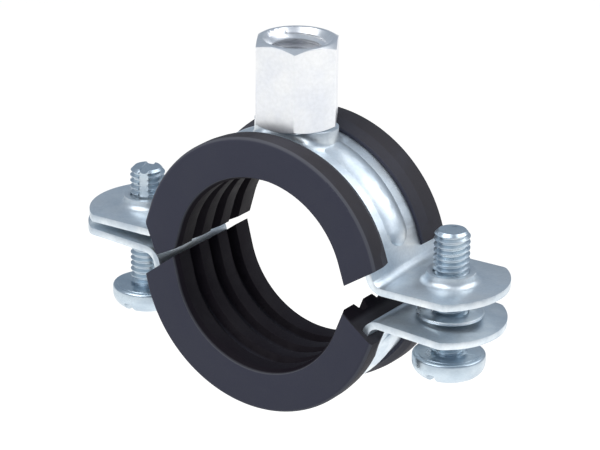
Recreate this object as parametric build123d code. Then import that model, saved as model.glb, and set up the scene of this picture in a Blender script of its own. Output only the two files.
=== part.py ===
from build123d import *
import math
import os

# A two-screw pipe clamp: two pressed steel half straps with rubber linings, a long hexagonal
# connecting nut welded on the crown, and two pan-head screws that come up from below.
# Frame: the origin is the centre of the upper half's bore. Y runs along the pipe, X along the
# lugs, and +Z points to the nut. Sizes are in millimetres, angles in degrees.

# Pipe seat and rubber lining
bore_r = 15.7             # radius over the crowns of the lining's ribs
lining_wall = 4.4         # from the crowns to the strap
lining_width = 21.8
side_wall = 1.1           # from an edge of the strap to the lining's side face
lip_wall = 1.6            # part of the lining that folds over the strap's outer face
lip_reach = 5.6           # how far a lip reaches in from the lining's side face
lip_crease = 2.6          # from the side face to the line where a lip starts to thin
lip_drop = 0.3            # and how much thinner it is at its edge
groove_count = 3
groove_pitch = 5.4
groove_width = 2.8
groove_floor = 1.6
groove_depth = 1.6
crown_bevel = 1.2         # bevel along the bore edge of both side faces
lining_round = 0.7        # outer corners of the lining
lip_round = 0.45

# Strap
strap_t = 1.2
flare_angle = 18.0        # the legs leave the arc here and lean out by the same angle
lug_gap = 2.0             # between the lugs when both bores are concentric
bend_r = 1.8              # inner radius of the bend between leg and lug
screw_x = 30.0            # from the middle of the clamp to each screw
lug_side = 4.4            # a lug's straight sides end this far beyond the screw
lug_end = 9.2             # and its curved tip lies this far beyond it
lug_round = 1.6
rib_width = 5.6           # stiffening bead pressed along the middle of the strap
rib_rise = 0.8
rib_angle = 24.0          # where the rib ends, above the lugs

# Connecting nut and the raised seat below it
nut_af = 13.0
nut_height = 14.3
nut_face_margin = 0.15    # the flat top ends this far inside the flats
nut_chamfer_angle = 30.0
nut_turn = 0.0            # 0 puts two flats parallel to the edges of the strap
rod_bore_r = 4.25         # tapping bore for M10, at the top
rod_bore_depth = 8.0
core_bore_r = 3.4         # tapping bore for M8, below it
entry_r = 5.3
entry_angle = 45.0
seat_rise = 1.7           # height of the raised seat above the strap
seat_length = 15.0
seat_blend = 1.5          # radius at the foot of the seat, which just fits between the lips

# Screws, collars and retaining washers
screw_d = 5.9
screw_length = 21.0
tip_chamfer = 0.7
head_d = 12.0
head_height = 3.9
head_round = 2.3
slot_width = 1.6
slot_depth = 1.7
left_screw_top = 8.9      # height of each screw's tip
right_screw_top = 10.9
collar_rise = 1.7
collar_d = 8.0
collar_foot = 1.2         # radius where it rises from the lug
collar_funnel = 0.8       # rounded entry under the collar, left by the punch
hole_d = 7.4              # clearance hole in a lower lug
washer_d = 11.0
washer_t = 0.6
right_washer_lift = 0.55  # a level washer over a tilted lug needs this much at its centre
left_washer_lift = 0.62   # and more where the lug swings up to it

# The lower half hangs open: it is turned about the line where it meets the upper half
open_angle = 3.5
pivot_x = -21.5
pivot_z = -1.2
lower_slack = 0.3         # how far the loose lower half has slid to the left on its screws

# Where each end of the linings is cut: the height of the cut at the bore, in each half's own
# frame, and its slope. A positive slope rises away from the bore, to clear the bend of the lug.
upper_right_end = 1.3
lower_right_end = 0.7
lower_left_end = 0.5
upper_left_end = 1.3
end_slope = 33.0
steep_slope = 41.0        # the lower left end
toe_slope = -27.0         # the upper left end drops to a toe that covers the edge of the strap
toe_x = 20.3
heel_slope = 64.0         # and is trimmed back from the toe, clear of the lug

# Clearances
seat_gap = 0.05           # lining to strap
thread_gap = 0.06         # screw to collar, and screw to washer

strap_inner_r = bore_r + lining_wall
strap_outer_r = strap_inner_r + strap_t
lining_half = lining_width / 2
strap_half = lining_half - side_wall
lip_edge = lining_half - lip_reach
seat_width = 2 * (lip_edge - seat_blend - seat_gap)
lug_corner_x = screw_x + lug_side
lug_tip_x = screw_x + lug_end
lug_bottom = lug_gap / 2
lug_top = lug_bottom + strap_t
nut_bottom = strap_outer_r + seat_rise
nut_top = nut_bottom + nut_height
reach = 4 * strap_outer_r  # longer than the part in any direction


def leg_x(r, z, angle=flare_angle):
    """x of the straight leg, at height z, that leaves a circle of radius r at the flare angle."""
    a = math.radians(angle)
    return (r - z * math.sin(a)) / math.cos(a)


def section_plane(angle):
    """Plane across the strap at an angle from +X: its x is Y and its y points away from the bore."""
    a = math.radians(angle)
    return Plane(origin=(0, 0, 0), x_dir=(0, 1, 0), z_dir=(math.sin(a), 0, -math.cos(a)))


def along_strap(section, leg_length):
    """Carry a cross-section round the upper half: one arc and two straight, flared legs."""
    right = section_plane(flare_angle) * section
    left = section_plane(180 - flare_angle) * section
    arc = revolve(right, Axis((0, 0, 0), (0, -1, 0)), 180 - 2 * flare_angle)
    return arc + extrude(right, leg_length) + extrude(left, -leg_length)


def strap_side_view():
    """Outline of an upper half strap seen along the pipe, with rounded bends."""
    a = math.radians(flare_angle)
    inner_root = leg_x(strap_inner_r, lug_bottom)
    outer_root = leg_x(strap_outer_r, lug_top)
    inner_leg = (strap_inner_r * math.cos(a), strap_inner_r * math.sin(a))
    outer_leg = (strap_outer_r * math.cos(a), strap_outer_r * math.sin(a))
    half = make_face([
        Line((0, strap_inner_r), (0, strap_outer_r)),
        RadiusArc((0, strap_outer_r), outer_leg, strap_outer_r),
        Line(outer_leg, (outer_root, lug_top)),
        Line((outer_root, lug_top), (lug_tip_x, lug_top)),
        Line((lug_tip_x, lug_top), (lug_tip_x, lug_bottom)),
        Line((lug_tip_x, lug_bottom), (inner_root, lug_bottom)),
        Line((inner_root, lug_bottom), inner_leg),
        RadiusArc(inner_leg, (0, strap_inner_r), -strap_inner_r),
    ])
    half = fillet(half.vertices().sort_by_distance((inner_root, lug_bottom, 0))[0], bend_r + strap_t)
    half = fillet(half.vertices().sort_by_distance((outer_root, lug_top, 0))[0], bend_r)
    return half + mirror(half, Plane.YZ)


def strap_plan():
    """Outline of a half strap seen from above: straight sides and a curved end on each lug."""
    lines = [
        Line((-lug_corner_x, -strap_half), (lug_corner_x, -strap_half)),
        ThreePointArc((lug_corner_x, -strap_half), (lug_tip_x, 0), (lug_corner_x, strap_half)),
        Line((lug_corner_x, strap_half), (-lug_corner_x, strap_half)),
        ThreePointArc((-lug_corner_x, strap_half), (-lug_tip_x, 0), (-lug_corner_x, -strap_half)),
    ]
    face = make_face(lines)
    return fillet(face.vertices(), lug_round)


def half_rib_section(r, rise, width):
    """One half of the bead's cross-section, from just below a face of radius r to its crown."""
    foot = r - strap_t / 2
    return make_face([
        Line((0, foot), (width / 2, foot)),
        Line((width / 2, foot), (width / 2, r)),
        ThreePointArc((width / 2, r), (width / 4, r + 0.75 * rise), (0, r + rise)),
        Line((0, r + rise), (0, foot)),
    ])


def rib(r, rise, width):
    """The bead as a curved bar on a face of radius r, with domed ends."""
    half = half_rib_section(r, rise, width)
    section = half + mirror(half, Plane.YZ)
    bar = revolve(section_plane(rib_angle) * section, Axis((0, 0, 0), (0, -1, 0)), 180 - 2 * rib_angle)
    for angle in (rib_angle, 180 - rib_angle):
        plane = section_plane(angle)
        bar += revolve(plane * half, Axis((0, 0, 0), plane.y_dir))
    return bar


def seat_block(grow, top):
    """Rounded block for the raised seat below the nut, or for the hollow under it."""
    outline = SlotOverall(seat_length + 2 * grow, seat_width + 2 * grow)
    below = Rot(90, 0, 0) * Cylinder(strap_inner_r + strap_t / 2 + grow / 2, reach)
    return extrude(outline, top) - below


def bent_strip():
    """One half strap in the upper half's frame, bent and trimmed but without bead or holes."""
    body = extrude(Plane.XZ * strap_side_view(), strap_half, both=True)
    return body & extrude(strap_plan(), reach)


def pressed_bead(body):
    """Press the bead into a strap: raised outside and hollow inside."""
    body += rib(strap_outer_r, rib_rise, rib_width)
    return body - rib(strap_inner_r, rib_rise, rib_width - strap_t)


def seat_foot(body):
    """The edges where the raised seat meets the strap's outer face."""
    return [e for e in body.edges()
            if abs(math.hypot(e.center().X, e.center().Z) - strap_outer_r) < strap_t / 2
            and abs(e.center().X) <= seat_length / 2
            and abs(e.center().Y) <= seat_width / 2 + 1e-3]


def drawn_collar(body, x):
    """Draw a collar up from an upper lug, with a rounded foot outside and a funnel below."""
    seat = (x, 0, lug_top)
    body += Pos(seat) * Cylinder(collar_d / 2, collar_rise, align=(Align.CENTER, Align.CENTER, Align.MIN))
    foot = [e for e in body.edges().filter_by(GeomType.CIRCLE)
            if (e.arc_center - Vector(*seat)).length < 1e-6 and abs(e.radius - collar_d / 2) < 1e-6]
    body = fillet(foot, collar_foot)
    bore = screw_d / 2 + thread_gap
    body -= Pos(seat) * Cylinder(bore, 2 * (strap_t + collar_rise))
    funnel = Cone(bore + collar_funnel, bore, collar_funnel, align=(Align.CENTER, Align.CENTER, Align.MIN))
    return body - Pos(x, 0, lug_bottom) * funnel


def upper_strap():
    body = bent_strip() + seat_block(0, nut_bottom)
    body = fillet(seat_foot(body), seat_blend)
    body = pressed_bead(body) - seat_block(-strap_t, nut_bottom - strap_t)
    for x in (-screw_x, screw_x):
        body = drawn_collar(body, x)
    return body


def lower_strap():
    body = pressed_bead(bent_strip())
    for x in (-screw_x, screw_x):
        body -= Pos(x, 0, lug_bottom) * Cylinder(hole_d / 2, 4 * strap_t)
    return place_lower(body)


def lining_section():
    """The C profile: ribbed bore side, two side walls and two lips over the strap."""
    inside = strap_half + seat_gap
    floor = strap_inner_r - seat_gap
    ceiling = strap_outer_r + seat_gap
    outer = strap_outer_r + lip_wall
    crease = lining_half - lip_crease
    tip = outer - lip_drop
    block = Polygon(
        (-lining_half, bore_r),
        (lining_half, bore_r),
        (lining_half, outer),
        (crease, outer),
        (lip_edge, tip),
        (-lip_edge, tip),
        (-crease, outer),
        (-lining_half, outer),
        align=None,
    )
    corners = [v for v in block.vertices() if abs(v.X) > lining_half - seat_gap and v.Y > strap_outer_r]
    block = fillet(corners, lining_round)
    block -= Pos(0, (floor + ceiling) / 2) * Rectangle(2 * inside, ceiling - floor)
    block -= Pos(0, (ceiling + outer) / 2) * Rectangle(2 * lip_edge, outer - ceiling + 2 * seat_gap)
    tips = [v for v in block.vertices() if abs(abs(v.X) - lip_edge) < 1e-6 and abs(v.Y - tip) < 1e-6]
    block = fillet(tips, lip_round)
    bevels = block.vertices().group_by(Axis.Y)[0]
    block = chamfer(bevels, crown_bevel / 2, crown_bevel)
    for i in range(groove_count):
        y = (i - (groove_count - 1) / 2) * groove_pitch
        block -= Polygon(
            (y - groove_width / 2, bore_r - seat_gap),
            (y + groove_width / 2, bore_r - seat_gap),
            (y + groove_floor / 2, bore_r + groove_depth),
            (y - groove_floor / 2, bore_r + groove_depth),
            align=None,
        )
    return block


def end_cutter(side, x, z, slope):
    """What is cut off one end of a lining: all that lies below a sloping plane.

    side is 1 at the right and -1 at the left, and the plane passes through the point at x, z.
    """
    a = math.radians(slope)
    end = Plane(origin=(side * x, 0, z), x_dir=(0, 1, 0), z_dir=(-side * math.sin(a), 0, math.cos(a)))
    below = end * Box(reach, reach, reach, align=(Align.CENTER, Align.CENTER, Align.MAX))
    return below & (Pos(side * reach / 2, 0, 0) * Box(reach, reach, reach))


def upper_lining():
    """The upper lining, whose left end has a toe. Its lips stop where the lug starts to bend."""
    toe_start = leg_x(bore_r, upper_left_end)
    toe_z = upper_left_end + (toe_x - toe_start) * math.tan(math.radians(toe_slope))
    body = along_strap(lining_section(), strap_inner_r / 2)
    body -= end_cutter(1, leg_x(bore_r, upper_right_end), upper_right_end, end_slope)
    body -= end_cutter(-1, toe_start, upper_left_end, toe_slope)
    body -= end_cutter(-1, toe_x, toe_z, heel_slope)
    strap_middle_x = (strap_inner_r + strap_outer_r) / 2
    bend_space = Box(reach, 2 * strap_half, reach, align=(Align.MAX, Align.CENTER, Align.MAX))
    return body - Pos(-strap_middle_x, 0, lug_top + bend_r + seat_gap) * bend_space


def lower_lining():
    body = along_strap(lining_section(), strap_inner_r / 2)
    body -= end_cutter(1, leg_x(bore_r, lower_right_end), lower_right_end, end_slope)
    body -= end_cutter(-1, leg_x(bore_r, lower_left_end), lower_left_end, steep_slope)
    return place_lower(body)


def place_lower(body):
    """Turn a piece of the upper half over to the lower half, and swing it open at the pivot."""
    closed = Pos(-lower_slack, 0, 0) * mirror(body, Plane.XY)
    return Pos(pivot_x, 0, pivot_z) * Rot(0, open_angle, 0) * Pos(-pivot_x, 0, -pivot_z) * closed


def combination_nut():
    body = Pos(0, 0, nut_bottom) * extrude(
        RegularPolygon(nut_af / 2, 6, major_radius=False, rotation=nut_turn), nut_height)
    corner_r = nut_af / math.sqrt(3)
    face_r = nut_af / 2 - nut_face_margin
    drop = (corner_r - face_r) * math.tan(math.radians(nut_chamfer_angle))
    envelope = Cylinder(corner_r, nut_height - 2 * drop, align=(Align.CENTER, Align.CENTER, Align.MIN))
    envelope = Pos(0, 0, drop) * envelope
    envelope += Cone(face_r, corner_r, drop, align=(Align.CENTER, Align.CENTER, Align.MIN))
    envelope += Pos(0, 0, nut_height - drop) * Cone(
        corner_r, face_r, drop, align=(Align.CENTER, Align.CENTER, Align.MIN))
    body &= Pos(0, 0, nut_bottom) * envelope
    body -= Pos(0, 0, nut_top) * Cylinder(
        rod_bore_r, rod_bore_depth, align=(Align.CENTER, Align.CENTER, Align.MAX))
    body -= Pos(0, 0, nut_bottom) * Cylinder(
        core_bore_r, nut_height, align=(Align.CENTER, Align.CENTER, Align.MIN))
    entry = (entry_r - rod_bore_r) / math.tan(math.radians(entry_angle))
    body -= Pos(0, 0, nut_top - entry) * Cone(
        rod_bore_r, entry_r, entry, align=(Align.CENTER, Align.CENTER, Align.MIN))
    return body


def screw(x, top):
    """Pan-head screw, head down, with its tip at the given height."""
    shank = Cylinder(screw_d / 2, screw_length, align=(Align.CENTER, Align.CENTER, Align.MAX))
    shank = chamfer(shank.edges().sort_by(Axis.Z)[-1], tip_chamfer)
    head = Cylinder(head_d / 2, head_height, align=(Align.CENTER, Align.CENTER, Align.MAX))
    head = fillet(head.edges().sort_by(Axis.Z)[0], head_round)
    head -= Pos(0, 0, -head_height) * Box(slot_width, head_d, 2 * slot_depth)
    return Pos(x, 0, top) * (shank + Pos(0, 0, -screw_length) * head)


def washer(x, base_z):
    """Round retaining washer with its lower face at base_z."""
    disc = Cylinder(washer_d / 2, washer_t) - Cylinder(screw_d / 2 + thread_gap, washer_t)
    return Pos(x, 0, base_z + washer_t / 2) * disc


def lower_lug_top(x):
    """Height of the open lower half's lug above the point x."""
    a = math.radians(open_angle)
    return pivot_z + (-lug_bottom - pivot_z) / math.cos(a) - (x - pivot_x) * math.tan(a)


pieces = {
    "upper_strap": upper_strap(),
    "combination_nut": combination_nut(),
    "upper_lining": upper_lining(),
    "lower_strap": lower_strap(),
    "lower_lining": lower_lining(),
    "left_screw": screw(-screw_x, left_screw_top),
    "right_screw": screw(screw_x, right_screw_top),
    "left_washer": washer(-screw_x, lower_lug_top(-screw_x) + left_washer_lift),
    "right_washer": washer(screw_x, lower_lug_top(screw_x) + right_washer_lift),
}

os.makedirs("parts", exist_ok=True)
for name, solid in pieces.items():
    export_step(solid, f"parts/{name}.step")
    print(name, round(solid.volume, 1))
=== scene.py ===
import math

import bpy
from mathutils import Matrix, Vector


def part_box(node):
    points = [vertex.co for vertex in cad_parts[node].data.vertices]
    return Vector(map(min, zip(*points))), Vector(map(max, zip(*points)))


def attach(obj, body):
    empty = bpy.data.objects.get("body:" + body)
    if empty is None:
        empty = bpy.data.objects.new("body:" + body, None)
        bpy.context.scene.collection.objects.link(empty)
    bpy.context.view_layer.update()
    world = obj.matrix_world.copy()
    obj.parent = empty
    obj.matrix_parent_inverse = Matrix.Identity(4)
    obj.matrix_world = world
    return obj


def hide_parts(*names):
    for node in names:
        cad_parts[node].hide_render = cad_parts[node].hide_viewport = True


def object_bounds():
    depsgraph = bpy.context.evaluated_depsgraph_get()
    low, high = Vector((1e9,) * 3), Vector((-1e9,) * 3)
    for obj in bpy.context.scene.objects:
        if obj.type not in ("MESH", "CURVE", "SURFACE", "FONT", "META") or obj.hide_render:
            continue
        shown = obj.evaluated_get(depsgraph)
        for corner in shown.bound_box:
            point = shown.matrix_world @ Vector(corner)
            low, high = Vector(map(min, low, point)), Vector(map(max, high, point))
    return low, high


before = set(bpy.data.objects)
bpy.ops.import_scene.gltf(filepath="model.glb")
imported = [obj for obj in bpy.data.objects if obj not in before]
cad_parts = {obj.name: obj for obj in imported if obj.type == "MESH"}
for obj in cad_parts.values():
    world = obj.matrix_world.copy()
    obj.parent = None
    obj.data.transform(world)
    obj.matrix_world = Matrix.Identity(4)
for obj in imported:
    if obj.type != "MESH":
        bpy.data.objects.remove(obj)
cad_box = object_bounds()

# ---------------------------------------------------------------------------------------------
# The two half straps. Each is a strip of 1.2 mm mild steel, sheared to length, pressed with a
# bead along its middle and bent to a half ring with two flat lugs. They are barrel-plated with
# bright zinc after forming, so the plate runs over the sheared edges and into the bends.
# ---------------------------------------------------------------------------------------------
STRAP_EDGE = 0.00016          # rounding that the plating barrel leaves on a sheared edge
SAME_POINT = 2e-6
SAME_PLANE = math.radians(0.6)
ZINC_PALE = (0.80, 0.86, 0.90, 1.0)
ZINC_SHADE = (0.66, 0.735, 0.80, 1.0)
ZINC_WARM = (0.82, 0.82, 0.80, 1.0)
BLOOM_PATCHES = 260.0         # noise scales: patches of about 4 mm, tints of 11 mm
BLOOM_TINTS = 90.0
BLOOM_CRYSTALS = 2600.0       # and crystals of 0.4 mm
PLATE_METALLIC = 0.92         # the passivated plate is a little milky, not a mirror
ROLLED_GRAIN = 0.000006       # height of the crystals on rolled strip
TURNED_GRAIN = 0.0000015      # and on turned or cold-headed steel


def take_only(piece):
    """Select one object and make it active."""
    bpy.ops.object.select_all(action="DESELECT")
    piece.select_set(True)
    bpy.context.view_layer.objects.active = piece


def apply_all(piece):
    """Apply every modifier of a piece, in order."""
    take_only(piece)
    for name in [m.name for m in piece.modifiers]:
        bpy.ops.object.modifier_apply(modifier=name)


def copy_of_node(node, name, reshape=None):
    """A new object with a merged copy of a CAD node's mesh, its flat faces made whole again.

    reshape is a function that moves points of the merged copy before its faces are made whole.
    """
    mesh = bpy.data.objects[node].data.copy()
    mesh.name = name
    mesh.materials.clear()
    piece = bpy.data.objects.new(name, mesh)
    bpy.context.collection.objects.link(piece)
    take_only(piece)
    bpy.ops.object.mode_set(mode="EDIT")
    bpy.ops.mesh.select_all(action="SELECT")
    bpy.ops.mesh.remove_doubles(threshold=SAME_POINT)
    bpy.ops.object.mode_set(mode="OBJECT")
    if reshape:
        reshape(piece)
    bpy.ops.object.mode_set(mode="EDIT")
    bpy.ops.mesh.select_all(action="SELECT")
    bpy.ops.mesh.dissolve_limited(angle_limit=SAME_PLANE)
    bpy.ops.object.mode_set(mode="OBJECT")
    return piece


def soften(piece, width, segments, angle=20):
    """Round a piece's sharp edges, and shade it smooth while its flat faces stay flat."""
    take_only(piece)
    bpy.ops.object.shade_smooth()
    bevel = piece.modifiers.new("rounded edges", "BEVEL")
    bevel.width = width
    bevel.segments = segments
    bevel.limit_method = "ANGLE"
    bevel.angle_limit = math.radians(angle)
    bevel.use_clamp_overlap = True
    bevel.harden_normals = True
    apply_all(piece)


def new_group(name, inputs, outputs):
    """An empty shader node group with named sockets, and its input and output nodes."""
    group = bpy.data.node_groups.new(name, "ShaderNodeTree")
    for label, kind, value in inputs:
        socket = group.interface.new_socket(name=label, in_out="INPUT", socket_type=kind)
        if value is not None:
            socket.default_value = value
    for label, kind in outputs:
        group.interface.new_socket(name=label, in_out="OUTPUT", socket_type=kind)
    return group, group.nodes.new("NodeGroupInput"), group.nodes.new("NodeGroupOutput")


def noise(tree, vector, scale, detail=4.0, roughness=0.55):
    """A noise texture on the given coordinates."""
    node = tree.nodes.new("ShaderNodeTexNoise")
    tree.links.new(vector, node.inputs["Vector"])
    node.inputs["Scale"].default_value = scale
    node.inputs["Detail"].default_value = detail
    node.inputs["Roughness"].default_value = roughness
    return node.outputs["Fac"]


def fit_range(tree, value, low, high, to_low, to_high):
    """Map a value from one range to another, with both ends clamped."""
    node = tree.nodes.new("ShaderNodeMapRange")
    tree.links.new(value, node.inputs["Value"])
    for label, number in (("From Min", low), ("From Max", high),
                          ("To Min", to_low), ("To Max", to_high)):
        node.inputs[label].default_value = number
    return node.outputs["Result"]


def blend_colours(tree, factor, first, second, mode="MIX"):
    """Mix two colours, each given as a socket or as a value."""
    node = tree.nodes.new("ShaderNodeMix")
    node.data_type = "RGBA"
    node.blend_type = mode
    for socket, value in ((node.inputs[0], factor), (node.inputs[6], first), (node.inputs[7], second)):
        if isinstance(value, bpy.types.NodeSocket):
            tree.links.new(value, socket)
        else:
            socket.default_value = value
    return node.outputs[2]


def stretched(tree, vector, scale):
    """Coordinates stretched by different amounts along X, Y and Z."""
    node = tree.nodes.new("ShaderNodeMapping")
    tree.links.new(vector, node.inputs["Vector"])
    node.inputs["Scale"].default_value = scale
    return node.outputs["Vector"]


def build_zinc_bloom():
    """Bright zinc plate: pale patches, a faint warm tint, and fine crystals that scatter light."""
    group, given, out = new_group(
        "zinc bloom",
        [("Vector", "NodeSocketVector", None),
         ("Pale", "NodeSocketColor", ZINC_PALE),
         ("Shade", "NodeSocketColor", ZINC_SHADE),
         ("Warm", "NodeSocketColor", ZINC_WARM),
         ("Grain Height", "NodeSocketFloat", 0.00002),
         ("Smoothest", "NodeSocketFloat", 0.20),
         ("Roughest", "NodeSocketFloat", 0.38)],
        [("Colour", "NodeSocketColor"),
         ("Roughness", "NodeSocketFloat"),
         ("Height", "NodeSocketFloat")])
    place = given.outputs["Vector"]
    patches = noise(group, place, BLOOM_PATCHES, 3.0)
    crystals = noise(group, place, BLOOM_CRYSTALS, 2.0)
    tint = noise(group, place, BLOOM_TINTS, 2.0)
    shade = fit_range(group, patches, 0.38, 0.66, 0.0, 1.0)
    colour = blend_colours(group, shade, given.outputs["Shade"], given.outputs["Pale"])
    warmth = fit_range(group, tint, 0.50, 0.72, 0.0, 0.35)
    colour = blend_colours(group, warmth, colour, given.outputs["Warm"])
    speck = fit_range(group, crystals, 0.35, 0.65, 0.94, 1.0)
    grey = group.nodes.new("ShaderNodeCombineColor")
    for label in ("Red", "Green", "Blue"):
        group.links.new(speck, grey.inputs[label])
    colour = blend_colours(group, 1.0, colour, grey.outputs["Color"], "MULTIPLY")
    group.links.new(colour, out.inputs["Colour"])
    rough = group.nodes.new("ShaderNodeMapRange")
    group.links.new(patches, rough.inputs["Value"])
    rough.inputs["From Min"].default_value = 0.35
    rough.inputs["From Max"].default_value = 0.70
    group.links.new(given.outputs["Roughest"], rough.inputs["To Min"])
    group.links.new(given.outputs["Smoothest"], rough.inputs["To Max"])
    group.links.new(rough.outputs["Result"], out.inputs["Roughness"])
    height = group.nodes.new("ShaderNodeMath")
    height.operation = "MULTIPLY"
    group.links.new(crystals, height.inputs[0])
    group.links.new(given.outputs["Grain Height"], height.inputs[1])
    group.links.new(height.outputs[0], out.inputs["Height"])
    return group


def finish_material(name, metallic, specular=0.5):
    """A new material with its Principled shader and the object's own coordinates."""
    material = bpy.data.materials.new(name)
    material.use_nodes = True
    tree = material.node_tree
    shader = tree.nodes["Principled BSDF"]
    shader.inputs["Metallic"].default_value = metallic
    shader.inputs["Specular IOR Level"].default_value = specular
    place = tree.nodes.new("ShaderNodeTexCoord").outputs["Object"]
    return material, tree, shader, place


def bump(tree, shader, height):
    """Feed a height in metres to the shader's normal."""
    node = tree.nodes.new("ShaderNodeBump")
    node.inputs["Strength"].default_value = 1.0
    node.inputs["Distance"].default_value = 1.0
    tree.links.new(height, node.inputs["Height"])
    tree.links.new(node.outputs["Normal"], shader.inputs["Normal"])


zinc_bloom = build_zinc_bloom()


def plated(name, grain, smoothest, roughest, drawn=(1.0, 1.0, 1.0), pale=ZINC_PALE, shade=ZINC_SHADE):
    """Zinc-plated steel. drawn stretches its patches by the way that the metal was worked."""
    material, tree, shader, place = finish_material(name, PLATE_METALLIC)
    group = tree.nodes.new("ShaderNodeGroup")
    group.node_tree = zinc_bloom
    tree.links.new(stretched(tree, place, drawn), group.inputs["Vector"])
    group.inputs["Pale"].default_value = pale
    group.inputs["Shade"].default_value = shade
    group.inputs["Warm"].default_value = ZINC_WARM
    group.inputs["Grain Height"].default_value = grain
    group.inputs["Smoothest"].default_value = smoothest
    group.inputs["Roughest"].default_value = roughest
    tree.links.new(group.outputs["Colour"], shader.inputs["Base Color"])
    tree.links.new(group.outputs["Roughness"], shader.inputs["Roughness"])
    bump(tree, shader, group.outputs["Height"])
    return material


strap_zinc = plated("plated strap", ROLLED_GRAIN, smoothest=0.34, roughest=0.46)
for node, body in (("upper_strap", "upper_half"), ("lower_strap", "lower_half")):
    strap = copy_of_node(node, node + "_pressing")
    soften(strap, STRAP_EDGE, 2)
    strap.data.materials.append(strap_zinc)
    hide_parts(node)
    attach(strap, body)

# ---------------------------------------------------------------------------------------------
# The connecting nut: free-cutting steel bar, 13 mm across flats, parted off with a 30 degree
# chamfer at both ends, tapped M10 from the top and M8 below, and welded to the raised seat.
# ---------------------------------------------------------------------------------------------
nut_low, nut_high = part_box("combination_nut")
NUT_FLATS = nut_high[1] - nut_low[1]
NUT_BOTTOM = nut_low[2]
NUT_TOP = nut_high[2]
NUT_FACE_R = NUT_FLATS / 2 - 0.00015          # of the flat top, just inside the flats
NUT_CHAMFER = math.radians(30)
NUT_EDGE = 0.00018            # rounding of the six corners
NUT_RIM = 0.00008             # and of the edges that the chamfer leaves
NUT_SMOOTH = math.radians(28)
# The nut's colours are painted light: paler than the strap plate, so that its faces render near white.
NUT_PALE = (0.98, 0.985, 0.99, 1.0)
NUT_SHADE = (0.90, 0.915, 0.955, 1.0)
MOUTH_R = 0.0057              # of the countersink
M10 = dict(radius=0.0050, root=0.0042, pitch=0.0015)
M8 = dict(radius=0.0040, root=0.0034, pitch=0.00125)
M10_DEPTH = 0.0080


def lathe(name, outline, steps=96):
    """A closed turned body from an outline of (radius, height) points, from axis to axis."""
    mesh = bpy.data.meshes.new(name)
    mesh.from_pydata([(r, 0.0, z) for r, z in outline],
                     [(i, i + 1) for i in range(len(outline) - 1)], [])
    piece = bpy.data.objects.new(name, mesh)
    bpy.context.collection.objects.link(piece)
    take_only(piece)
    bpy.ops.object.mode_set(mode="EDIT")
    bpy.ops.mesh.select_all(action="SELECT")
    bpy.ops.mesh.spin(steps=steps, angle=math.tau, center=(0, 0, 0), axis=(0, 0, 1))
    bpy.ops.mesh.select_all(action="SELECT")
    bpy.ops.mesh.remove_doubles(threshold=1e-6)
    bpy.ops.mesh.normals_make_consistent(inside=False)
    bpy.ops.object.mode_set(mode="OBJECT")
    return piece


def threaded_bar(name, bottom, top, radius, root, pitch, steps=48):
    """A bar with a right-handed V thread cut along all of it, closed flat at both ends.

    The crest is flat for an eighth of the pitch and the root for a fifth, both with eased corners.
    """
    crest = pitch / 8
    flank = (pitch - crest - pitch / 5) / 2
    eased_root = root + 0.12 * (radius - root)
    eased_crest = radius - 0.10 * (radius - root)
    outline = [(root, 0.0), (eased_root, 0.10 * flank), (eased_crest, 0.92 * flank),
               (radius, flank), (radius, flank + crest), (eased_crest, 1.08 * flank + crest),
               (eased_root, 1.90 * flank + crest), (root, 2 * flank + crest), (root, pitch)]
    turns = math.ceil((top - bottom) / pitch) + 2
    start = bottom - pitch
    mesh = bpy.data.meshes.new(name)
    mesh.from_pydata([(r, 0.0, start + z) for r, z in outline],
                     [(i, i + 1) for i in range(len(outline) - 1)], [])
    piece = bpy.data.objects.new(name, mesh)
    bpy.context.collection.objects.link(piece)
    screw = piece.modifiers.new("thread", "SCREW")
    screw.axis = "Z"
    screw.angle = math.tau
    screw.screw_offset = pitch
    screw.iterations = turns
    screw.steps = steps
    screw.render_steps = steps
    screw.use_merge_vertices = False
    apply_all(piece)
    bpy.ops.object.mode_set(mode="EDIT")
    bpy.ops.mesh.select_all(action="SELECT")
    bpy.ops.mesh.remove_doubles(threshold=SAME_POINT)
    for height, upper in ((bottom, False), (top, True)):
        bpy.ops.mesh.select_all(action="SELECT")
        bpy.ops.mesh.bisect(plane_co=(0, 0, height), plane_no=(0, 0, 1), use_fill=True,
                            clear_outer=upper, clear_inner=not upper)
    bpy.ops.mesh.select_all(action="SELECT")
    bpy.ops.mesh.normals_make_consistent(inside=False)
    bpy.ops.object.mode_set(mode="OBJECT")
    return piece


def cut(piece, tool, operation="DIFFERENCE"):
    """Cut a piece with a tool, or keep only what both share, and drop the tool."""
    boolean = piece.modifiers.new("cut", "BOOLEAN")
    boolean.operation = operation
    boolean.solver = "EXACT"
    boolean.object = tool
    apply_all(piece)
    bpy.data.objects.remove(tool, do_unlink=True)


def smooth_below(piece, angle):
    """Shade a piece smooth, apart from the edges that are sharper than an angle."""
    take_only(piece)
    bpy.ops.object.shade_smooth_by_angle(angle=angle)


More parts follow.
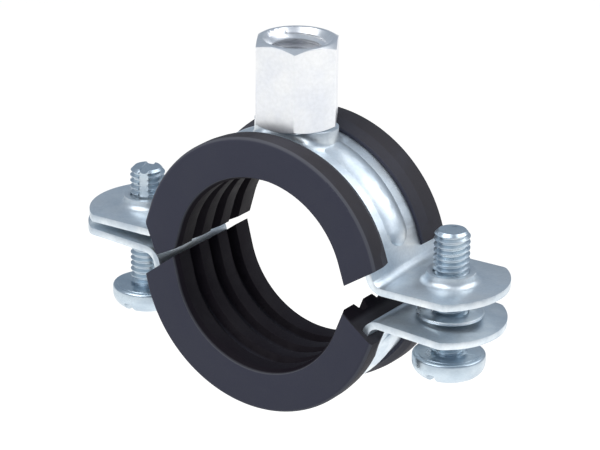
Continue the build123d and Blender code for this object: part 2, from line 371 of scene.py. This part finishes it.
def hexagonal_nut():
    """The nut: a hexagon trimmed by the chamfering, then tapped and countersunk."""
    corner_r = NUT_FLATS / math.sqrt(3)
    drop = (corner_r - NUT_FACE_R) * math.tan(NUT_CHAMFER)
    bpy.ops.object.select_all(action="DESELECT")
    bpy.ops.mesh.primitive_cylinder_add(vertices=6, radius=corner_r, depth=NUT_TOP - NUT_BOTTOM,
                                        location=(0, 0, (NUT_TOP + NUT_BOTTOM) / 2),
                                        rotation=(0, 0, math.radians(30)))
    nut = bpy.context.active_object
    nut.name = "welded_connecting_nut"
    bpy.ops.object.transform_apply(location=True, rotation=True, scale=True)
    edge = nut.modifiers.new("corners", "BEVEL")
    edge.width = NUT_EDGE
    edge.segments = 3
    apply_all(nut)
    turned = lathe("chamfering", [(0, NUT_BOTTOM), (NUT_FACE_R, NUT_BOTTOM),
                                  (corner_r, NUT_BOTTOM + drop), (corner_r, NUT_TOP - drop),
                                  (NUT_FACE_R, NUT_TOP), (0, NUT_TOP)])
    cut(nut, turned, "INTERSECT")
    soften(nut, NUT_RIM, 2)
    step = NUT_TOP - M10_DEPTH
    mouth = MOUTH_R - M10["root"]
    cut(nut, threaded_bar("m8 tap", NUT_BOTTOM - 0.001, step + 0.0002, **M8))
    cut(nut, threaded_bar("m10 tap", step, NUT_TOP + 0.001, **M10))
    cut(nut, lathe("countersink", [(0, NUT_TOP - mouth), (M10["root"], NUT_TOP - mouth),
                                   (MOUTH_R, NUT_TOP), (MOUTH_R, NUT_TOP + 0.001),
                                   (0, NUT_TOP + 0.001)]))
    smooth_below(nut, NUT_SMOOTH)
    return nut


nut = hexagonal_nut()
nut.data.materials.append(plated("plated nut", TURNED_GRAIN, smoothest=0.28, roughest=0.36,
                                 drawn=(0.6, 0.6, 0.6), pale=NUT_PALE, shade=NUT_SHADE))
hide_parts("combination_nut")
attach(nut, "upper_half")

# ---------------------------------------------------------------------------------------------
# The two rubber linings: black EPDM extruded as a C profile with three grooves on the bore
# side, cut to length at a slope, and snapped over both edges of the strap.
# ---------------------------------------------------------------------------------------------
RUBBER_EDGE = 0.00022
RUBBER_CREASE = 12            # degrees: sharper edges are rounded
# Face and flank tints are painted light: the rubber is bluish where it faces along Y and browner where
# it faces outwards.
RUBBER_FACE_LIGHT_TINT = (0.051, 0.051, 0.071, 1.0)
RUBBER_FLANK_LIGHT_TINT = (0.044, 0.040, 0.045, 1.0)
RUBBER_DUST = (0.064, 0.064, 0.080, 1.0)
# A painted highlight, lighter grey, along the bevelled outer edges.
RUBBER_EDGE_HIGHLIGHT = (0.115, 0.115, 0.130, 1.0)
# Painted shade: the bore and its grooves are made near black.
RUBBER_BORE_SHADE = (0.010, 0.007, 0.011, 1.0)
RUBBER_SPECULAR = 0.14
GRAIN_HEIGHT = 0.000022
PIT_HEIGHT = 0.00003
EDGE_HIGHLIGHT_Y = 0.0092               # beyond this width the bevelled outer edges get a painted highlight
BORE_ZONE_R = 0.0188          # inside this radius the bore is painted darker, as painted shade, grooves and all
BORE_ZONE_Y = 0.0104
ZONE_BLUR = 0.0004
LOWER_CENTRE = (-0.000266, 0.0, -0.001297)    # of the lower half, which hangs open
LIP_R = 0.0215                # the lips lie outside this radius
LIP_TIP_Y = 0.0059            # and their free edges inside this width
LIP_PRESS = 0.973             # share of its radius that a free edge keeps
TOE_X = -0.016086             # where the sloping left end of the upper lining meets the bore
TOE_Z = 0.0013
TOE_RISE = math.tan(math.radians(27))
TOE_NEAR = 0.00004            # points this close to the slope belong to the end
TOE_LONGER = 0.0006


def maths(tree, operation, first, second):
    """One math node, with each input given as a socket or as a number."""
    node = tree.nodes.new("ShaderNodeMath")
    node.operation = operation
    for socket, value in ((node.inputs[0], first), (node.inputs[1], second)):
        if isinstance(value, bpy.types.NodeSocket):
            tree.links.new(value, socket)
        else:
            socket.default_value = value
    return node.outputs[0]


def extruded_rubber():
    """Black rubber: painted light makes the side faces bluish and the flanks browner, with a painted
    highlight on the outer edges and painted shade in the bore.
    """
    material, tree, shader, place = finish_material("extruded rubber", 0.0, RUBBER_SPECULAR)
    clouds = noise(tree, place, 140.0, 4.0)
    grain = noise(tree, place, 3800.0, 3.0, 0.7)
    pits = noise(tree, place, 900.0, 2.0, 0.5)
    normal = tree.nodes.new("ShaderNodeSeparateXYZ")
    tree.links.new(place.node.outputs["Normal"], normal.inputs["Vector"])
    # Painted light: the colour follows which way the surface faces, bluish on the side faces and
    # browner on the flanks.
    facing = maths(tree, "ABSOLUTE", normal.outputs["Y"], 0.0)
    painted_facing_light = fit_range(tree, facing, 0.35, 0.90, 0.0, 1.0)
    colour = blend_colours(tree, painted_facing_light, RUBBER_FLANK_LIGHT_TINT, RUBBER_FACE_LIGHT_TINT)
    colour = blend_colours(tree, fit_range(tree, clouds, 0.46, 0.72, 0.0, 0.5), colour, RUBBER_DUST)
    point = tree.nodes.new("ShaderNodeSeparateXYZ")
    tree.links.new(place, point.inputs["Vector"])
    width = maths(tree, "ABSOLUTE", point.outputs["Y"], 0.0)
    # Painted highlight on the bevelled edges between the side faces and the flanks, strongest on the
    # outer edges.
    rim = maths(tree, "MULTIPLY", fit_range(tree, facing, 0.12, 0.35, 0.0, 1.0),
                fit_range(tree, facing, 0.80, 0.96, 1.0, 0.0))
    outer = fit_range(tree, width, EDGE_HIGHLIGHT_Y, EDGE_HIGHLIGHT_Y + ZONE_BLUR, 0.15, 0.75)
    rim = maths(tree, "MULTIPLY", rim, outer)
    colour = blend_colours(tree, rim, colour, RUBBER_EDGE_HIGHLIGHT)
    radius = maths(tree, "SQRT", maths(tree, "ADD", maths(tree, "POWER", point.outputs["X"], 2.0),
                                       maths(tree, "POWER", point.outputs["Z"], 2.0)), 0.0)
    # Painted shade inside the bore, grooves and all, on the side that holds the pipe.
    inward = fit_range(tree, radius, BORE_ZONE_R - 2 * ZONE_BLUR, BORE_ZONE_R, 1.0, 0.0)
    between = fit_range(tree, width, BORE_ZONE_Y, BORE_ZONE_Y + ZONE_BLUR, 1.0, 0.0)
    bore_shade = maths(tree, "MULTIPLY", inward, between)
    colour = blend_colours(tree, bore_shade, colour, RUBBER_BORE_SHADE)
    tree.links.new(colour, shader.inputs["Base Color"])
    rough = fit_range(tree, clouds, 0.3, 0.7, 0.55, 0.72)
    tree.links.new(rough, shader.inputs["Roughness"])
    bump(tree, shader, maths(tree, "ADD", maths(tree, "MULTIPLY", grain, GRAIN_HEIGHT),
                             maths(tree, "MULTIPLY", pits, PIT_HEIGHT)))
    return material


def select_points(piece, wanted):
    """Select the points for which wanted(x, y, z) holds, and enter edit mode."""
    take_only(piece)
    bpy.ops.object.mode_set(mode="EDIT")
    bpy.ops.mesh.select_mode(type="VERT")
    bpy.ops.mesh.select_all(action="DESELECT")
    bpy.ops.object.mode_set(mode="OBJECT")
    for vertex in piece.data.vertices:
        vertex.select = wanted(*vertex.co)
    bpy.ops.object.mode_set(mode="EDIT")


def press_lips(lining, centre):
    """Press the lips thin at their free edges, where the extrusion grips the strap."""
    select_points(lining, lambda x, y, z: math.hypot(x - centre[0], z - centre[2]) > LIP_R
                  and abs(y) < LIP_TIP_Y)
    bpy.ops.transform.resize(value=(LIP_PRESS, 1.0, LIP_PRESS), center_override=centre)
    bpy.ops.object.mode_set(mode="OBJECT")


def shape_upper(lining):
    """The upper lining is a little long at its toe, where it bears on the lower half."""
    press_lips(lining, (0, 0, 0))
    select_points(lining, lambda x, y, z: x < 0
                  and abs(z - TOE_Z - (x - TOE_X) * TOE_RISE) < TOE_NEAR)
    bpy.ops.transform.translate(value=(0, 0, -TOE_LONGER))
    bpy.ops.object.mode_set(mode="OBJECT")


def shape_lower(lining):
    """The lower lining is only pressed, about the centre of its own tilted half."""
    press_lips(lining, LOWER_CENTRE)


rubber = extruded_rubber()
for node, body, shape in (("upper_lining", "upper_half", shape_upper),
                          ("lower_lining", "lower_half", shape_lower)):
    lining = copy_of_node(node, node + "_extrusion", shape)
    soften(lining, RUBBER_EDGE, 3, RUBBER_CREASE)
    lining.data.materials.append(rubber)
    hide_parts(node)
    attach(lining, body)

# ---------------------------------------------------------------------------------------------
# The two M6 screws: cold-headed pan heads with a slot, rolled threads, zinc plated. They are
# driven up from below into the collars. The left tip is staked so that it can't fall out.
# ---------------------------------------------------------------------------------------------
SCREW_R = 0.00295
SCREW_ROOT = 0.00240
SCREW_PITCH = 0.0010
TIP_CHAMFER = 0.0007
HEAD_H = 0.0039
HEAD_R = 0.0060
HEAD_ROUND = 0.0023           # of the crown's corner
HEAD_RIM = 0.00050            # rounding of the rim, outside the flat bearing face
HEAD_STEP = 0.00010           # the bearing face stands this much proud
SLOT_WIDTH = 0.0016
SLOT_DEPTH = 0.0017
SLOT_EDGE = 0.0002
STAKE_ANGLE = math.radians(20)
STAKE_WIDTH = 0.0018
STAKE_LENGTH = 0.0070         # down from the tip
STAKE_R = 0.00238             # from the axis to the smooth band
STAKE_EDGE = 0.00025
NOTCH_R = 0.0008
NOTCH_DEPTH = 0.0006
SCREW_SMOOTH = math.radians(32)
# The screws' colours are painted shade: bluish-grey plate set darker than the straps, standing in for
# the shade on the threads and head.
SCREW_PALE = (0.60, 0.69, 0.76, 1.0)
SCREW_SHADE = (0.50, 0.59, 0.67, 1.0)


def block(transform, edge, segments):
    """A unit cube put through a transform, with rounded edges, to cut with."""
    bpy.ops.object.select_all(action="DESELECT")
    bpy.ops.mesh.primitive_cube_add(size=1, location=(0, 0, 0))
    piece = bpy.context.active_object
    piece.data.transform(transform)
    bevel = piece.modifiers.new("edges", "BEVEL")
    bevel.width = edge
    bevel.segments = segments
    apply_all(piece)
    return piece


def pan_head(bearing):
    """The head, from its flat bearing face down to its rounded crown, with the slot cut in."""
    crown = bearing - HEAD_H
    face_r = HEAD_R - 1.6 * HEAD_RIM
    rim_z = bearing - HEAD_STEP
    outline = [(0, bearing), (face_r, bearing),
               (face_r + HEAD_STEP / 2, rim_z), (HEAD_R - HEAD_RIM, rim_z)]
    for i in range(1, 6):
        a = math.radians(90) * i / 5
        outline.append((HEAD_R - HEAD_RIM * (1 - math.sin(a)), rim_z - HEAD_RIM * (1 - math.cos(a))))
    for i in range(9):
        a = math.radians(90) * i / 8
        outline.append((HEAD_R - HEAD_ROUND * (1 - math.cos(a)),
                        crown + HEAD_ROUND * (1 - math.sin(a))))
    outline.append((0, crown))
    head = lathe("head", outline)
    cut(head, block(Matrix.Translation((0, 0, crown))
                    @ Matrix.Diagonal((SLOT_WIDTH, 3 * HEAD_R, 2 * SLOT_DEPTH, 1.0)), SLOT_EDGE, 2))
    return head


def stake(shank, tip):
    """Press a smooth vertical band through the thread, and a notch across the tip."""
    around = Matrix.Rotation(STAKE_ANGLE, 4, "Z")
    past = 0.002
    middle = (0, -STAKE_R - past / 2, tip + (past - STAKE_LENGTH) / 2)
    size = (STAKE_WIDTH, past, STAKE_LENGTH + past, 1.0)
    cut(shank, block(around @ Matrix.Translation(middle) @ Matrix.Diagonal(size), STAKE_EDGE, 3))
    bpy.ops.object.select_all(action="DESELECT")
    bpy.ops.mesh.primitive_cylinder_add(vertices=32, radius=NOTCH_R, depth=2 * HEAD_R,
                                        location=(0, 0, 0))
    groove = bpy.context.active_object
    groove.data.transform(around @ Matrix.Translation((0, 0, tip + NOTCH_R - NOTCH_DEPTH))
                          @ Matrix.Rotation(math.radians(90), 4, "X"))
    cut(shank, groove)


def machine_screw(node, name, staked):
    """One screw: a threaded shank with a chamfered tip, rooted in its head."""
    low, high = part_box(node)
    tip = high[2]
    bearing = low[2] + HEAD_H
    past = 0.0005
    shank = threaded_bar(name, bearing - past, tip, SCREW_R, SCREW_ROOT, SCREW_PITCH)
    blank = lathe("blank", [(0, bearing - 2 * past), (SCREW_R + past, bearing - 2 * past),
                            (SCREW_R + past, tip - TIP_CHAMFER - past),
                            (SCREW_R - TIP_CHAMFER, tip), (0, tip)], 64)
    cut(shank, blank, "INTERSECT")
    if staked:
        stake(shank, tip)
    cut(shank, pan_head(bearing), "UNION")
    shank.data.transform(Matrix.Translation(((low[0] + high[0]) / 2, 0, 0)))
    smooth_below(shank, SCREW_SMOOTH)
    return shank


screw_zinc = plated("plated screw", TURNED_GRAIN, smoothest=0.26, roughest=0.36,
                    drawn=(1.0, 1.0, 2.0), pale=SCREW_PALE, shade=SCREW_SHADE)
for node, name, staked in (("right_screw", "right_pan_screw", False),
                           ("left_screw", "left_pan_screw", True)):
    screw = machine_screw(node, name, staked)
    screw.data.materials.append(screw_zinc)
    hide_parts(node)
    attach(screw, node)

# ---------------------------------------------------------------------------------------------
# The retaining washers: thin steel rings, blanked and plated, that grip each screw's thread
# below the upper lug, so that the lower half stays on when the clamp hangs open.
# ---------------------------------------------------------------------------------------------
WASHER_EDGE = 0.00015
washer_zinc = plated("plated washer", ROLLED_GRAIN, smoothest=0.26, roughest=0.40)
for node in ("right_washer", "left_washer"):
    ring = copy_of_node(node, node + "_ring")
    soften(ring, WASHER_EDGE, 3)
    ring.data.materials.append(washer_zinc)
    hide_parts(node)
    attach(ring, node)

# ---------------------------------------------------------------------------------------------
# The studio: a white table well below the hanging clamp, a plain grey room, and two large soft
# lamps, one above and in front, the other above, behind and to the right.
# ---------------------------------------------------------------------------------------------
FLOOR_DROP = 0.16
TABLE_SIZE = 6.0
TABLE_PAINT = (0.86, 0.86, 0.86, 1.0)
TABLE_GLOW = (0.67, 0.63, 0.57, 1.0)
ROOM_GREY = (0.28, 0.33, 0.395, 1.0)


def white_table():
    """A white table that looks lit to the camera and in the metal, and still takes a shadow.

    A camera below the table looks through it, at the underside of the clamp.
    """
    material = bpy.data.materials.new("white table")
    material.use_nodes = True
    tree = material.node_tree
    shader = tree.nodes["Principled BSDF"]
    shader.inputs["Base Color"].default_value = TABLE_PAINT
    shader.inputs["Roughness"].default_value = 0.9
    path = tree.nodes.new("ShaderNodeLightPath")
    seen = maths(tree, "MAXIMUM", path.outputs["Is Camera Ray"], path.outputs["Is Glossy Ray"])
    seen = maths(tree, "MAXIMUM", seen, path.outputs["Is Transmission Ray"])
    glow = tree.nodes.new("ShaderNodeEmission")
    glow.inputs["Color"].default_value = TABLE_GLOW
    tree.links.new(seen, glow.inputs["Strength"])
    both = tree.nodes.new("ShaderNodeAddShader")
    tree.links.new(shader.outputs["BSDF"], both.inputs[0])
    tree.links.new(glow.outputs["Emission"], both.inputs[1])
    clear = tree.nodes.new("ShaderNodeBsdfTransparent")
    under = tree.nodes.new("ShaderNodeMixShader")
    geometry = tree.nodes.new("ShaderNodeNewGeometry")
    from_below = maths(tree, "MULTIPLY", geometry.outputs["Backfacing"], path.outputs["Is Camera Ray"])
    tree.links.new(from_below, under.inputs["Fac"])
    tree.links.new(both.outputs["Shader"], under.inputs[1])
    tree.links.new(clear.outputs["BSDF"], under.inputs[2])
    tree.links.new(under.outputs["Shader"], tree.nodes["Material Output"].inputs["Surface"])
    return material


bpy.ops.object.select_all(action="DESELECT")
bpy.ops.mesh.primitive_plane_add(size=TABLE_SIZE, location=(0, 0, cad_box[0][2] - FLOOR_DROP))
table = bpy.context.active_object
table.name = "studio_table"
table.data.materials.append(white_table())

world = bpy.context.scene.world or bpy.data.worlds.new("room")
bpy.context.scene.world = world
world.use_nodes = True
world.node_tree.nodes["Background"].inputs["Color"].default_value = ROOM_GREY
world.node_tree.nodes["Background"].inputs["Strength"].default_value = 1.0


def soft_lamp(name, azimuth, elevation, distance, size, watts):
    """A square area lamp that points at the clamp. Azimuth 0 is in front, along -Y."""
    a = math.radians(azimuth)
    e = math.radians(elevation)
    away = Vector((math.sin(a) * math.cos(e), -math.cos(a) * math.cos(e), math.sin(e)))
    light = bpy.data.lights.new(name, "AREA")
    light.shape = "SQUARE"
    light.size = size
    light.energy = watts
    lamp = bpy.data.objects.new(name, light)
    lamp.location = away * distance
    lamp.rotation_euler = away.to_track_quat("Z", "Y").to_euler()
    bpy.context.collection.objects.link(lamp)


soft_lamp("front lamp", azimuth=-20, elevation=48, distance=0.40, size=0.36, watts=1.1)
soft_lamp("right lamp", azimuth=124, elevation=43, distance=0.60, size=0.58, watts=2.0)

AZIMUTH = math.radians(33.376)
ELEVATION = math.radians(21.182)
ROLL = math.radians(0.695)
DISTANCE = 0.56129
SHIFT_RIGHT = 0.0008135
SHIFT_UP = 0.0046004
LENS = 204.214

back = Vector((math.sin(AZIMUTH) * math.cos(ELEVATION), -math.cos(AZIMUTH) * math.cos(ELEVATION),
               math.sin(ELEVATION)))
right = Vector((math.cos(AZIMUTH), math.sin(AZIMUTH), 0.0))
up = back.cross(right)
right, up = (math.cos(ROLL) * right + math.sin(ROLL) * up,
             math.cos(ROLL) * up - math.sin(ROLL) * right)
view = bpy.data.cameras.new("camera")
view.lens = LENS
view.sensor_width = 36.0
camera = bpy.data.objects.new("camera", view)
camera.matrix_world = Matrix((
    (right.x, up.x, back.x, 0), (right.y, up.y, back.y, 0), (right.z, up.z, back.z, 0), (0, 0, 0, 1)))
camera.location = back * DISTANCE + right * SHIFT_RIGHT + up * SHIFT_UP
bpy.context.collection.objects.link(camera)
bpy.context.scene.camera = camera

bpy.context.scene.view_settings.view_transform = "Standard"
